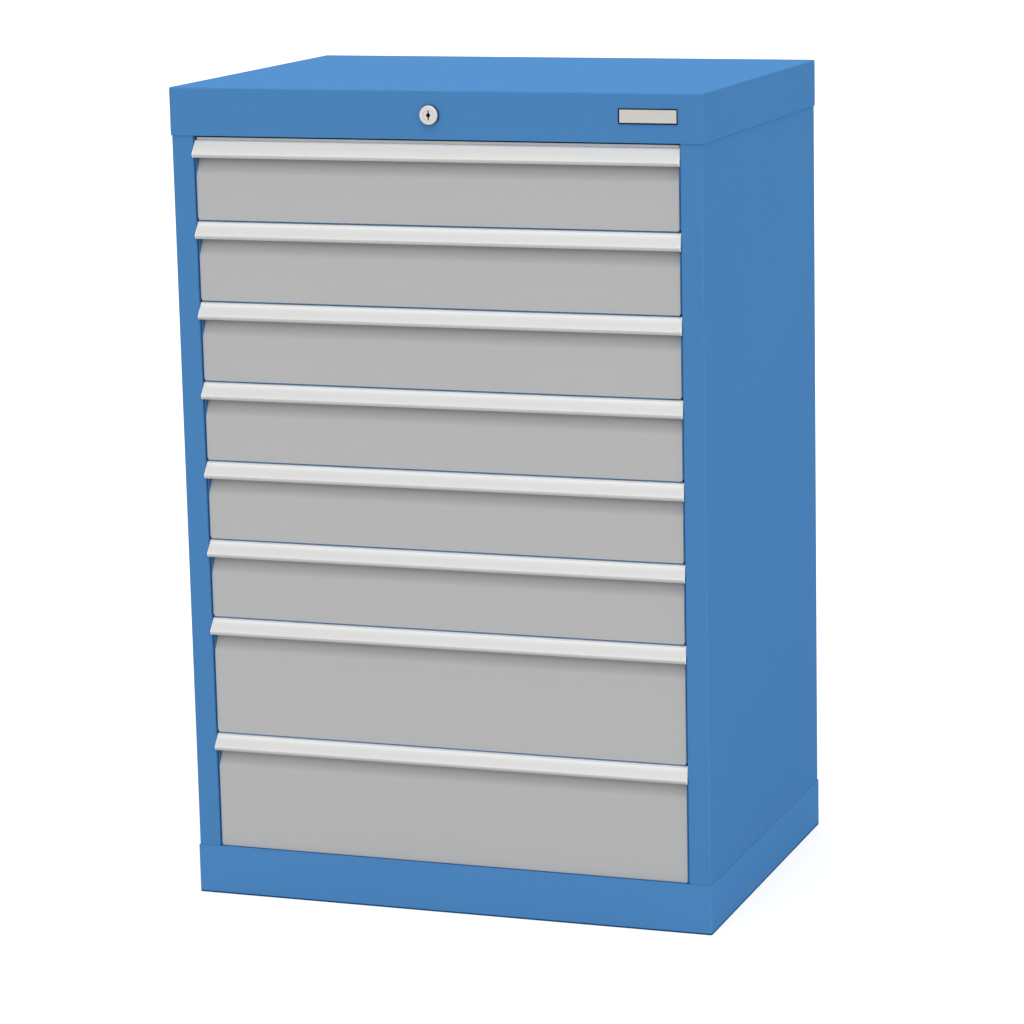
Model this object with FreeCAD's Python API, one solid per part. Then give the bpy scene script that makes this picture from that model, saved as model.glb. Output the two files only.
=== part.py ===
import FreeCAD, Part
import math
import os

# Steel drawer cabinet: eight drawers on telescopic slides behind one central lock.
# Lengths are in millimetres. X runs across the front, Y from the front to the back, Z up.
# The origin lies on the floor, under the middle of the whole outline.

# Overall size
width = 682.0
depth = 500.0
header_height = 59.0
plinth_height = 62.0

# Drawer stack, from the top down
shallow_pitch = 100.0
deep_pitch = 150.0
shallow_count = 6
deep_count = 2
first_gap = 5.5
front_gap = 3.0
last_gap = 1.0

# Sheet metal of the housing
cap_sheet = 1.2
panel_sheet = 1.2
fold_radius = 0.8
stile_width = 29.0
jamb_depth = 23.0
rear_flange = 25.0
header_return = 15.0
floor_rim = 30.0
plinth_lap = 20.0
seam = 0.5
overrun = 2.0

# Slotted uprights that carry the slides
post_sheet = 1.5
post_depth = 30.0
post_setback = 40.0
slot_height = 14.0
slot_width = 5.0
slot_pitch = 150.0

# Telescopic slides
slide_thickness = 12.7
slide_setback = 40.0
slide_rear_gap = 20.0
slide_rise = 31.0
post_inset = 0.9
run_gap = 0.4
outer_member_sheet = 1.5
outer_member_height = 45.0
outer_member_depth = 9.8
outer_member_lip = 4.3
middle_member_sheet = 1.2
middle_member_lip = 5.2
inner_member_sheet = 1.2
carriage_shortfall = 6.0

# Drawer front
face_sheet = 1.2
front_side_gap = 2.5
face_recess = 4.3
scoop_drop = 43.0
scoop_depth = 20.0
scoop_land = 10.0
scoop_bend = 16.0
bottom_lip = 14.0
side_lip = 12.0

# Grip strip along the top of a drawer front
grip_wall = 1.5
grip_fold = 0.9
grip_overhang = 1.5
grip_splay = 1.4
grip_setback = 6.5
grip_reach = 9.3
grip_drop = 17.7
nose_back = 2.6
nose_drop = 3.6
grip_leg = 7.0

# Drawer box
box_sheet = 1.0
box_rise = 7.0
rim_drop = 20.0
box_flange = 8.0
box_tail = 1.0
divider_slot_width = 2.5
divider_slot_height = 22.0
divider_slot_pitch = 100.0
divider_slot_drop = 12.0

# Central lock
lock_head_diameter = 24.4
lock_head_length = 5.0
lock_head_bevel = 1.4
lock_body_diameter = 19.0
lock_body_length = 19.0
lock_hole_gap = 0.3
plug_diameter = 13.0
plug_fit = 0.05
plug_sink = 0.4
key_round = 5.2
key_slot_width = 1.7
key_slot_height = 11.0
key_depth = 9.0
nut_width = 26.0
nut_sides = 6
nut_thickness = 5.0
cam_gap = 0.5
cam_thickness = 2.0
cam_radius = 8.5
cam_width = 9.0
cam_hub_diameter = 11.0
cam_pin_diameter = 4.0
cam_turn = 90.0
tail_width = 7.0
tail_gap = 0.1
cam_screw_diameter = 8.0
cam_screw_head = 2.5

# Lock linkage
transfer_sheet = 2.5
transfer_gap = 1.0
transfer_height = 14.5
transfer_head_height = 28.0
transfer_head_width = 27.0
transfer_drop = 4.5
transfer_end = 14.0
fork_gap = 0.5
fork_floor = 8.0
ramp_gap = 0.4
lock_bar_width = 10.0
lock_bar_sheet = 4.0
lock_bar_setback = 27.0
lock_bar_inset = 3.0
lock_bar_pin = 5.0
lock_bar_foot_gap = 0.3
lock_bar_head = 22.0
dog_width = 5.0
dog_setback = 2.0
dog_reach = 12.5
dog_height = 7.0
dog_gap = 1.5
catch_rise = 64.0
catch_height = 9.0
catch_reach = 10.0
catch_gap = 0.7
catch_edge = 3.0
catch_length = 20.0
guide_sheet = 2.0
guide_gap = 0.4
guide_margin = 2.0
guide_rise = 88.0
guide_flange = 12.0
hanger_sheet = 1.5
hanger_gap = 0.3
hanger_width = 20.0
hanger_lip = 5.0
hanger_flange = 14.0
hanger_place_shares = [0.2, 0.8]

# Name plate, left bare
plate_width = 73.8
plate_height = 19.0
plate_thickness = 0.9
plate_corner = 1.5
plate_rise = 2.0
plate_inset = 1.0

# How close two coordinates count as one
edge_tolerance = 1e-4

# Places that follow from the sizes
pitches = [shallow_pitch] * shallow_count + [deep_pitch] * deep_count
opening_height = first_gap + sum(pitches) - front_gap + last_gap
height = plinth_height + opening_height + header_height
opening_top = height - header_height
opening_half = width / 2 - stile_width
front_width = 2 * (opening_half - front_side_gap)
grip_width = front_width + 2 * grip_overhang
grip_round = grip_fold + grip_wall
face_lean = math.atan(grip_reach / grip_drop)
lip_lean = math.atan(nose_back / nose_drop)
nose_cut = grip_round * (math.cos((lip_lean - face_lean) / 2)
                         / math.cos((lip_lean + face_lean) / 2) - 1)
nose_lead = grip_reach - nose_cut - grip_setback
front_y = (max(nose_lead, lock_head_length) - depth) / 2
rear_y = front_y + depth
stile_y = front_y + cap_sheet
grip_y = front_y + grip_setback
side_x = width / 2 - cap_sheet
panel_inner_x = side_x - panel_sheet
rail_x = opening_half + post_inset
box_half = rail_x - slide_thickness
box_front_y = front_y + scoop_depth + face_sheet
slide_y = front_y + slide_setback
slide_length = depth - slide_setback - slide_rear_gap
box_back_y = slide_y + slide_length + box_tail
lock_x = 0.0
lock_z = opening_top + header_height / 2
cam_half_turn = math.radians(cam_turn / 2)
lift = 2 * cam_radius * math.sin(cam_half_turn)


def vec(x, y, z):
    """Point or direction."""
    return FreeCAD.Vector(x, y, z)


def block(x0, x1, y0, y1, z0, z1):
    """Block between two opposite corners."""
    return Part.makeBox(x1 - x0, y1 - y0, z1 - z0, vec(x0, y0, z0))


def rod(diameter, length, x, y, z):
    """Round bar that runs back along Y from a centre on its front face."""
    return Part.makeCylinder(diameter / 2, length, vec(x, y, z), vec(0, 1, 0))


def mirrored(shape):
    """The same piece on the other side of the cabinet."""
    return shape.mirror(vec(0, 0, 0), vec(1, 0, 0))


def both_sides(shape):
    """A right-hand piece and its left-hand twin."""
    return [shape, mirrored(shape)]


def same(a, b):
    """True for two coordinates that coincide."""
    return math.isclose(a, b, abs_tol=edge_tolerance)


def rounded(shape, radius, wanted):
    """Round the edges whose two end points satisfy a test."""
    chosen = [edge for edge in shape.Edges
              if wanted(edge.Vertexes[0].Point, edge.Vertexes[-1].Point)]
    return shape.makeFillet(radius, chosen)


def upright(a, b):
    """True for an edge that stands along Z."""
    return same(a.x, b.x) and same(a.y, b.y)


def level_with(z):
    """Test for an edge that lies at one height."""
    return lambda a, b: same(a.z, z) and same(b.z, z)


def beside(points, distance):
    """The polyline moved to its own right by a distance, with mitred corners."""
    lines = []
    for a, b in zip(points, points[1:]):
        along = (b - a).normalize()
        across = vec(along.y, -along.x, 0) * distance
        lines.append((a + across, b + across, along))
    moved = [lines[0][0]]
    for (_, end, before), (start, _, after) in zip(lines, lines[1:]):
        turn = before.x * after.y - before.y * after.x
        step = start - end
        moved.append(end + before * ((step.x * after.y - step.y * after.x) / turn))
    moved.append(lines[-1][1])
    return moved


def outline(points, radii, plane):
    """Edges along a polyline with a tangent arc at each inner point."""
    edges = []
    start = points[0]
    for before, corner, after, radius in zip(points, points[1:], points[2:], radii):
        first = corner
        last = corner
        if radius > 0:
            into = (corner - before).normalize()
            away = (after - corner).normalize()
            half = into.getAngle(away) / 2
            first = corner - into * (radius * math.tan(half))
            last = corner + away * (radius * math.tan(half))
            crown = corner + (away - into).normalize() * (radius / math.cos(half) - radius)
        edges.append(Part.LineSegment(plane(start), plane(first)).toShape())
        if radius > 0:
            edges.append(Part.Arc(plane(first), plane(crown), plane(last)).toShape())
        start = last
    edges.append(Part.LineSegment(plane(start), plane(points[-1])).toShape())
    return edges


def folded(pairs, sheet, folds, plane, run):
    """Sheet folded along a polyline, on the right of its line of travel, and run out sideways.

    The folds give the inner radius of every corner, in order, or one radius for all.
    """
    near = [vec(a, b, 0) for a, b in pairs]
    far = beside(near, sheet)
    inner_radii = folds if isinstance(folds, list) else [folds] * len(near[2:])
    near_radii = []
    far_radii = []
    for a, b, c, inner in zip(near, near[1:], near[2:], inner_radii):
        into = b - a
        away = c - b
        turns_right = into.x * away.y - into.y * away.x < 0
        outer = inner + sheet if inner > 0 else inner
        near_radii.append(outer if turns_right else inner)
        far_radii.append(inner if turns_right else outer)
    edges = outline(near, near_radii, plane)
    edges.append(Part.LineSegment(plane(near[-1]), plane(far[-1])).toShape())
    edges += outline(far[::-1], far_radii[::-1], plane)
    edges.append(Part.LineSegment(plane(far[0]), plane(near[0])).toShape())
    return Part.Face(Part.Wire(edges)).extrude(run)


def level_plane(z):
    """Profiles drawn in X and Y at one height."""
    return lambda p: vec(p.x, p.y, z)


def cross_plane(x):
    """Profiles drawn in Y and Z at one place across the front."""
    return lambda p: vec(x, p.x, p.y)


def front_plane(y):
    """Profiles drawn in X and Z at one distance from the front."""
    return lambda p: vec(p.x, y, p.y)


def prism(pairs, plane, run):
    """Straight prism over a closed outline of corners."""
    points = [plane(vec(a, b, 0)) for a, b in pairs]
    return Part.Face(Part.makePolygon(points + points[:1])).extrude(run)


def merged(first, *others):
    """One solid from pieces that join, with flat seams removed."""
    return first.fuse(list(others)).removeSplitter()


# Housing

def top_cover():
    """Hood over the top: four skirts, the lower return of the header and the lock's hole."""
    outer_fold = fold_radius + cap_sheet
    shell = block(-width / 2, width / 2, front_y, rear_y, opening_top, height)
    shell = rounded(shell, outer_fold, lambda a, b: upright(a, b) or level_with(height)(a, b))
    ceiling = height - cap_sheet
    hollow = block(-side_x, side_x, front_y + cap_sheet, rear_y - cap_sheet,
                   opening_top - overrun, ceiling)
    hollow = rounded(hollow, fold_radius, upright)
    return_half = opening_half - seam
    lip = block(-return_half, return_half, front_y + cap_sheet, stile_y + header_return,
                opening_top, opening_top + cap_sheet)
    hole = rod(lock_body_diameter + 2 * lock_hole_gap, cap_sheet + 2 * overrun,
               lock_x, front_y - overrun, lock_z)
    return [merged(shell.cut(hollow), lip).cut(hole)]


def side_panel():
    """Right side: panel, front stile, jamb along the opening and rear flange, folded from one sheet."""
    top_z = height - cap_sheet - fold_radius
    low_z = plinth_height - plinth_lap
    sheet = folded([(side_x - rear_flange, rear_y - cap_sheet), (side_x, rear_y - cap_sheet),
                    (side_x, stile_y), (opening_half, stile_y),
                    (opening_half, stile_y + jamb_depth)],
                   panel_sheet, fold_radius, level_plane(low_z), vec(0, 0, top_z - low_z))
    notch_x = opening_half + 2 * (panel_sheet + fold_radius)
    for z0, z1 in ((low_z - overrun, plinth_height), (opening_top, top_z + overrun)):
        sheet = sheet.cut(block(opening_half - overrun, notch_x, stile_y + panel_sheet,
                                stile_y + jamb_depth + overrun, z0, z1))
    return sheet


def back_panel():
    """Flat sheet behind the drawers, inside the rear flanges."""
    half = panel_inner_x - fold_radius
    y1 = rear_y - cap_sheet - panel_sheet
    return [block(-half, half, y1 - panel_sheet, y1, plinth_height,
                  height - cap_sheet - fold_radius)]


def base_plinth():
    """Plinth to the floor: four skirts with a rim turned in underneath."""
    skirts = block(-width / 2, width / 2, front_y, rear_y, 0, plinth_height)
    skirts = rounded(skirts, fold_radius + cap_sheet, upright)
    hollow = block(-side_x, side_x, front_y + cap_sheet, rear_y - cap_sheet,
                   cap_sheet, plinth_height + overrun)
    hollow = rounded(hollow, fold_radius, upright)
    mouth = block(-width / 2 + floor_rim, width / 2 - floor_rim,
                  front_y + floor_rim, rear_y - floor_rim, -overrun, cap_sheet + overrun)
    return [skirts.cut(hollow).cut(mouth)]


def base_plate():
    """Floor of the housing at the plinth's upper edge, with a tongue between the stiles."""
    z0 = plinth_height - panel_sheet
    y0 = stile_y + panel_sheet + fold_radius
    plate = block(-panel_inner_x, panel_inner_x, y0,
                  rear_y - cap_sheet - panel_sheet - fold_radius, z0, plinth_height)
    tongue_half = opening_half - seam
    tongue = block(-tongue_half, tongue_half, stile_y, y0, z0, plinth_height)
    return [merged(plate, tongue)]


def runner_post(y):
    """Right-hand upright at one distance from the front, with a row of slots for the slides."""
    top_z = height - cap_sheet
    post = folded([(panel_inner_x, y), (rail_x, y), (rail_x, y + post_depth),
                   (panel_inner_x, y + post_depth)],
                  post_sheet, fold_radius, level_plane(plinth_height),
                  vec(0, 0, top_z - plinth_height))
    slots = []
    z = plinth_height + slot_pitch
    while z + slot_height < opening_top:
        slot_y = y + (post_depth - slot_width) / 2
        slots.append(block(rail_x - overrun, rail_x + post_sheet + overrun,
                           slot_y, slot_y + slot_width, z, z + slot_height))
        z += slot_pitch
    return post.cut(Part.makeCompound(slots))


def runner_posts():
    """Four uprights, two on each side."""
    front_post = runner_post(stile_y + post_setback)
    rear_post = runner_post(slide_y + slide_length - post_depth)
    return both_sides(front_post) + both_sides(rear_post)


def name_plate():
    """Bare plate on the header, its right end near the opening's edge."""
    x1 = opening_half - plate_inset
    z0 = lock_z + plate_rise - plate_height / 2
    plate = block(x1 - plate_width, x1, front_y - plate_thickness, front_y,
                  z0, z0 + plate_height)
    return [rounded(plate, plate_corner,
                    lambda a, b: same(a.x, b.x) and same(a.z, b.z))]


# Telescopic slides: three members that nest with a running gap, drawn on the right-hand side

def slide_bar(pairs, sheet, z, shortfall):
    """Slide member from a profile in distance from the upright and height about its centre line."""
    placed = [(rail_x - inward, z + up) for inward, up in pairs]
    return folded(placed, sheet, 0, front_plane(slide_y), vec(0, slide_length - shortfall, 0))


def channel(back, front, half, lip):
    """Profile of a lipped channel that opens inwards."""
    upper = [(front, half - lip), (front, half), (back, half)]
    return upper + [(inward, -up) for inward, up in upper[::-1]]


def outer_member(z):
    """Channel fixed to the uprights."""
    return slide_bar(channel(0, outer_member_depth, outer_member_height / 2, outer_member_lip),
                     outer_member_sheet, z, 0)


middle_back = outer_member_sheet + run_gap
middle_front = outer_member_depth - outer_member_sheet - run_gap
middle_half = outer_member_height / 2 - outer_member_sheet - run_gap


def middle_member(z):
    """Carriage channel that runs inside the outer member."""
    return slide_bar(channel(middle_back, middle_front, middle_half, middle_member_lip),
                     middle_member_sheet, z, carriage_shortfall)


def inner_member(z):
    """Hat-shaped rail fixed to the drawer, with its brim held in the carriage channel."""
    brim = middle_back + middle_member_sheet + run_gap
    tip = middle_half - middle_member_sheet - run_gap
    crown_half = middle_half - middle_member_lip - run_gap
    crown = crown_half - inner_member_sheet
    web = slide_thickness - inner_member_sheet
    upper = [(brim, tip), (brim, crown), (web, crown)]
    profile = upper + [(inward, -up) for inward, up in upper[::-1]]
    return slide_bar(profile, inner_member_sheet, z, 0)


# One drawer, from the height of its strip's top edge and of the floor of its space

def drawer_front(top_z, bottom_z):
    """Front pan: lower lip, face, finger scoop and top flange folded from one sheet."""
    face_y = front_y + face_recess
    back_y = box_front_y
    low = bottom_z + front_gap
    bend_z = top_z - scoop_drop
    scoop_y = front_y + scoop_depth
    flange_z = top_z - grip_wall - face_sheet
    pan = folded([(back_y, low + bottom_lip), (back_y, low), (face_y, low), (face_y, bend_z),
                  (scoop_y, top_z - scoop_land), (scoop_y, flange_z),
                  (grip_y + grip_wall, flange_z)],
                 face_sheet, [0, fold_radius, scoop_bend, 0, 0],
                 cross_plane(-front_width / 2), vec(front_width, 0, 0))
    end_x = front_width / 2
    end = block(end_x - face_sheet, end_x, face_y + face_sheet / 2, face_y + side_lip,
                low + face_sheet / 2, bend_z - fold_radius)
    return [merged(pan, *both_sides(end))]


def drawer_handle(top_z):
    """Aluminium strip: leans forward from the top flange, with a rounded nose and two legs."""
    lean = [(grip_y + grip_leg, top_z), (grip_y, top_z),
            (grip_y - grip_reach, top_z - grip_drop),
            (grip_y - grip_reach + nose_back, top_z - grip_drop - nose_drop)]
    half = grip_width / 2 + grip_splay
    strip = folded([(y, z) for y, z in lean[::-1]], grip_wall, grip_fold,
                   cross_plane(-half), vec(2 * half, 0, 0))
    low_z = top_z - grip_drop - nose_drop - overrun
    lower_half = grip_width / 2 + grip_splay * (top_z - low_z) / grip_drop
    ends = prism([(-grip_width / 2, top_z), (grip_width / 2, top_z),
                  (lower_half, low_z), (-lower_half, low_z)],
                 front_plane(grip_y - grip_reach - overrun),
                 vec(0, grip_reach + grip_leg + 2 * overrun, 0))
    strip = strip.common(ends)
    front_half = front_width / 2
    for side in (-1, 1):
        x0, x1 = sorted((side * front_half, side * (half + overrun)))
        strip = strip.cut(block(x0, x1, grip_y, grip_y + grip_leg + overrun,
                                low_z, top_z + overrun))
    leg_top = top_z - grip_wall - face_sheet
    lower_leg = block(-front_half, front_half, grip_y - grip_wall, grip_y + grip_leg,
                      leg_top - grip_wall, leg_top)
    web = block(-front_half, front_half, grip_y - grip_wall, grip_y + grip_wall,
                leg_top - grip_wall, top_z - grip_wall)
    return [merged(strip, lower_leg, web)]


def divider_slots(x_places, y0, y1, z_top):
    """Cutters for the upright slots that hold dividers, along a wall across the drawer."""
    z1 = z_top - divider_slot_drop
    return [block(x - divider_slot_width / 2, x + divider_slot_width / 2, y0 - overrun,
                  y1 + overrun, z1 - divider_slot_height, z1) for x in x_places]


def drawer_box(top_z, bottom_z):
    """Five sheets of the drawer: floor, two sides, back and the wall behind the front."""
    low = bottom_z + box_rise
    rim = top_z - rim_drop
    wall_y = box_front_y + box_sheet
    tail_y = box_back_y - box_sheet
    side = folded([(box_half - box_flange, rim), (box_half, rim),
                   (box_half, low), (box_half - box_flange, low)],
                  box_sheet, 0, front_plane(wall_y), vec(0, tail_y - wall_y, 0))
    inner_half = box_half - box_sheet
    floor = block(-inner_half, inner_half, wall_y, tail_y, low + box_sheet, low + 2 * box_sheet)
    front_top = top_z - grip_wall - face_sheet
    front_wall = block(-box_half, box_half, box_front_y, wall_y, low, front_top)
    back_wall = block(-box_half, box_half, tail_y, box_back_y, low, rim)
    flange_half = box_half - box_flange
    back_flange = block(-flange_half, flange_half, tail_y - box_flange, tail_y,
                        rim - box_sheet, rim)
    back = merged(back_wall, back_flange)
    count = int(flange_half / divider_slot_pitch)
    places = [step * divider_slot_pitch for step in range(-count, count + 1)]
    front_wall = front_wall.cut(divider_slots(places, box_front_y, wall_y, rim))
    back = back.cut(divider_slots(places, tail_y, box_back_y, rim - box_sheet))
    return [floor, front_wall, back] + both_sides(side)


def catch_wedge(bottom_z):
    """Catch on the drawer's left side that the lock bar's dog stands against."""
    y0 = lock_bar_y + dog_setback + dog_width + catch_gap
    z0 = bottom_z + catch_rise
    corners = [(-box_half, y0), (-box_half - catch_reach, y0),
               (-box_half - catch_reach, y0 + catch_edge),
               (-box_half - catch_edge, y0 + catch_length), (-box_half, y0 + catch_length)]
    return prism(corners, level_plane(z0), vec(0, 0, catch_height))


def drawer_rails(bottom_z):
    """Inner slide members on the drawer's sides, with the catch for the lock."""
    return both_sides(inner_member(bottom_z + slide_rise)) + [catch_wedge(bottom_z)]


# Central lock, at rest unlocked: the cam's pin points down and to the right

def lock_housing():
    """Lock body with its round head, bored for the plug."""
    head_y = front_y - lock_head_length
    head = rod(lock_head_diameter, lock_head_length, lock_x, head_y, lock_z)
    rim = [edge for edge in head.Edges if same(edge.BoundBox.YMax, head_y)]
    head = head.makeChamfer(lock_head_bevel, rim)
    body = rod(lock_body_diameter, lock_body_length, lock_x, front_y, lock_z)
    bore = rod(plug_diameter + 2 * plug_fit, lock_head_length + lock_body_length + 2 * overrun,
               lock_x, head_y - overrun, lock_z)
    return [merged(head, body).cut(bore)]


def lock_nut():
    """Six-sided nut that clamps the lock against the inside of the header."""
    y0 = front_y + cap_sheet
    corner = nut_width / 2 / math.cos(math.pi / nut_sides)
    turns = [2 * math.pi * step / nut_sides for step in range(nut_sides)]
    corners = [(lock_x + corner * math.cos(turn), lock_z + corner * math.sin(turn))
               for turn in turns]
    nut = prism(corners, front_plane(y0), vec(0, nut_thickness, 0))
    return [nut.cut(rod(lock_body_diameter + 2 * lock_hole_gap, nut_thickness + 2 * overrun,
                        lock_x, y0 - overrun, lock_z))]


cam_y = front_y + lock_body_length + cam_gap
transfer_y = cam_y + cam_thickness + transfer_gap
lock_bar_y = front_y + lock_bar_setback
cam_pin_x = lock_x + cam_radius * math.sin(cam_half_turn)
cam_pin_z = lock_z - cam_radius * math.cos(cam_half_turn)


def lock_plug():
    """Plug that the key turns, with its keyhole in front and a square tail behind."""
    y0 = front_y - lock_head_length + plug_sink
    barrel = rod(plug_diameter, front_y + lock_body_length - y0, lock_x, y0, lock_z)
    half = tail_width / 2
    tail = block(lock_x - half, lock_x + half, front_y + lock_body_length,
                 cam_y + cam_thickness, lock_z - half, lock_z + half)
    keyway = rod(key_round, key_depth + overrun, lock_x, y0 - overrun, lock_z)
    slot_half = key_slot_width / 2
    slot = block(lock_x - slot_half, lock_x + slot_half, y0 - overrun, y0 + key_depth,
                 lock_z - key_slot_height / 2, lock_z + key_slot_height / 2)
    return [merged(barrel, tail).cut(keyway).cut(slot)]


def lock_cam():
    """Cam plate on the plug's tail, its screw and the pin that drives the transfer bar."""
    corner = cam_width / 2
    away = vec(cam_pin_x - lock_x, 0, cam_pin_z - lock_z)
    side = vec(away.z, 0, -away.x).normalize() * corner
    centre = vec(lock_x, cam_y, lock_z)
    arm = Part.Face(Part.makePolygon([centre + side, centre - side, centre + away - side,
                                      centre + away + side, centre + side]))
    arm = arm.extrude(vec(0, cam_thickness, 0))
    hub = rod(cam_hub_diameter, cam_thickness, lock_x, cam_y, lock_z)
    tip = rod(cam_width, cam_thickness, cam_pin_x, cam_y, cam_pin_z)
    half = tail_width / 2 + tail_gap
    socket = block(lock_x - half, lock_x + half, cam_y - overrun, cam_y + cam_thickness,
                   lock_z - half, lock_z + half)
    pin = rod(cam_pin_diameter, transfer_gap + transfer_sheet + cam_gap,
              cam_pin_x, cam_y + cam_thickness, cam_pin_z)
    screw = rod(cam_screw_diameter, cam_screw_head, lock_x, cam_y + cam_thickness, lock_z)
    return [merged(hub, arm, tip, pin).cut(socket), screw]


bar_outer_x = -(opening_half + panel_sheet + lock_bar_inset + lock_bar_sheet)
bar_inner_x = bar_outer_x + lock_bar_sheet
bar_pin_x = (bar_outer_x + bar_inner_x) / 2
transfer_top = lock_z - transfer_drop
transfer_low = transfer_top - transfer_height
bar_pin_z = transfer_low + transfer_height / 2


def transfer_bar():
    """Flat bar behind the header: a fork for the cam's pin and a sloping slot that lifts the lock bar."""
    y0 = transfer_y
    run = vec(0, transfer_sheet, 0)
    ramp_x = bar_pin_x
    head_x0 = ramp_x - (transfer_head_width - lift) / 2
    head_x1 = head_x0 + transfer_head_width
    bar = block(ramp_x, lock_x + transfer_end, y0, y0 + transfer_sheet, transfer_low, transfer_top)
    head = block(head_x0, head_x1, y0, y0 + transfer_sheet,
                 transfer_low, transfer_low + transfer_head_height)
    fork_half = cam_pin_diameter / 2 + fork_gap
    fork = block(cam_pin_x - fork_half, cam_pin_x + fork_half, y0 - overrun,
                 y0 + transfer_sheet + overrun, transfer_low + fork_floor, transfer_top + overrun)
    radius = lock_bar_pin / 2 + ramp_gap
    rise = radius * math.sqrt(0.5)
    ramp = prism([(ramp_x - rise, bar_pin_z + rise), (ramp_x + rise, bar_pin_z - rise),
                  (ramp_x + lift + rise, bar_pin_z + lift - rise),
                  (ramp_x + lift - rise, bar_pin_z + lift + rise)], front_plane(y0), run)
    low_end = rod(2 * radius, transfer_sheet, ramp_x, y0, bar_pin_z)
    high_end = rod(2 * radius, transfer_sheet, ramp_x + lift, y0, bar_pin_z + lift)
    return [merged(bar, head).cut(fork).cut(ramp).cut(low_end).cut(high_end)]


def lock_bar():
    """Upright bar behind the left jamb, one dog for each drawer and the pin that lifts it."""
    foot = plinth_height + lock_bar_foot_gap
    bar = block(bar_outer_x, bar_inner_x, lock_bar_y, lock_bar_y + lock_bar_width,
                foot, opening_top + lock_bar_head)
    pin = rod(lock_bar_pin, lock_bar_y - transfer_y + cam_gap,
              bar_pin_x, transfer_y - cam_gap, bar_pin_z)
    dogs = []
    for _, _, bottom_z in drawers:
        z1 = bottom_z + catch_rise - dog_gap
        y0 = lock_bar_y + dog_setback
        dogs.append(block(bar_inner_x, bar_inner_x + dog_reach, y0, y0 + dog_width,
                          z1 - dog_height, z1))
    return [bar, pin] + dogs


def lock_bar_guide(z):
    """Guide plate on the left side panel with a window for the lock bar."""
    y0 = lock_bar_y - guide_margin
    y1 = lock_bar_y + lock_bar_width + guide_margin
    x1 = bar_inner_x + guide_margin
    plate = block(-panel_inner_x, x1, y0, y1, z, z + guide_sheet)
    flange = block(-panel_inner_x, -panel_inner_x + guide_sheet, y0, y1,
                   z, z + guide_flange)
    window = block(bar_outer_x - guide_gap, bar_inner_x + guide_gap, lock_bar_y - guide_gap,
                   lock_bar_y + lock_bar_width + guide_gap, z - overrun,
                   z + guide_sheet + overrun)
    return merged(plate, flange).cut(window)


def transfer_hanger(x):
    """Hook from the hood's underside that carries the transfer bar."""
    lip_y = transfer_y - hanger_gap
    back_y = transfer_y + transfer_sheet + hanger_gap
    low = transfer_low - hanger_gap
    top = height - cap_sheet
    return folded([(lip_y, low + hanger_lip), (lip_y, low), (back_y, low), (back_y, top),
                   (back_y + hanger_flange, top)],
                  hanger_sheet, 0, cross_plane(x), vec(hanger_width, 0, 0))


def lock_bar_guides():
    """Guides of the lock bar and hangers of the transfer bar."""
    levels = [drawers[0], drawers[len(drawers) // 2], drawers[-1]]
    guides = [lock_bar_guide(bottom_z + guide_rise) for _, _, bottom_z in levels]
    hangers = [transfer_hanger(share * bar_inner_x - hanger_width / 2)
               for share in hanger_place_shares]
    return guides + hangers


# The drawers' places, from the top down: number, top edge of the strip, bottom of the space
drawers = []
next_top = opening_top - first_gap
for number, pitch in enumerate(pitches, start=1):
    drawers.append((number, next_top, next_top - pitch))
    next_top -= pitch

parts = {
    "top_cover": top_cover(),
    "left_side_panel": [mirrored(side_panel())],
    "right_side_panel": [side_panel()],
    "back_panel": back_panel(),
    "base_plinth": base_plinth(),
    "base_plate": base_plate(),
    "runner_posts": runner_posts(),
    "name_plate": name_plate(),
    "lock_housing": lock_housing(),
    "lock_nut": lock_nut(),
    "lock_plug": lock_plug(),
    "lock_cam": lock_cam(),
    "transfer_bar": transfer_bar(),
    "lock_bar": lock_bar(),
    "lock_bar_guides": lock_bar_guides(),
}
cabinet_rails = []
for number, top_z, bottom_z in drawers:
    slide_z = bottom_z + slide_rise
    cabinet_rails += both_sides(outer_member(slide_z))
    name = "drawer_%d_" % number
    parts[name + "front"] = drawer_front(top_z, bottom_z)
    parts[name + "handle"] = drawer_handle(top_z)
    parts[name + "box"] = drawer_box(top_z, bottom_z)
    parts[name + "rails"] = drawer_rails(bottom_z)
    parts[name + "carriages"] = both_sides(middle_member(slide_z))
parts["cabinet_rails"] = cabinet_rails

os.makedirs("parts", exist_ok=True)
for name, solids in parts.items():
    shape = solids[0] if len(solids) == 1 else Part.makeCompound(solids)
    shape.exportStep("parts/%s.step" % name)
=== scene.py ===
import logging
import math
from dataclasses import dataclass, field
from enum import Enum
from typing import Any, Callable, Iterable, Mapping, Sequence, Union

import bmesh
import bpy
from mathutils import Matrix, Vector


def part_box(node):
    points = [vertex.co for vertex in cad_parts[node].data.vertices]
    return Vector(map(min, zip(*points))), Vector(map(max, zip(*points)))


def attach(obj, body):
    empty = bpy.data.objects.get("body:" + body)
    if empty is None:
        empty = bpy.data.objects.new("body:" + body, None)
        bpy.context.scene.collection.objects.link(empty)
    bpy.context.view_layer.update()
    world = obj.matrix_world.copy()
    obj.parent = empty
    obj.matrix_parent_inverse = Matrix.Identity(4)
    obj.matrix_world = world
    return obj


# Looks of a steel drawer cabinet: finishes, small fittings, camera and studio.
# Lengths are in metres in the cabinet's own frame: X across the front, Y to the back, Z up.

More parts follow.
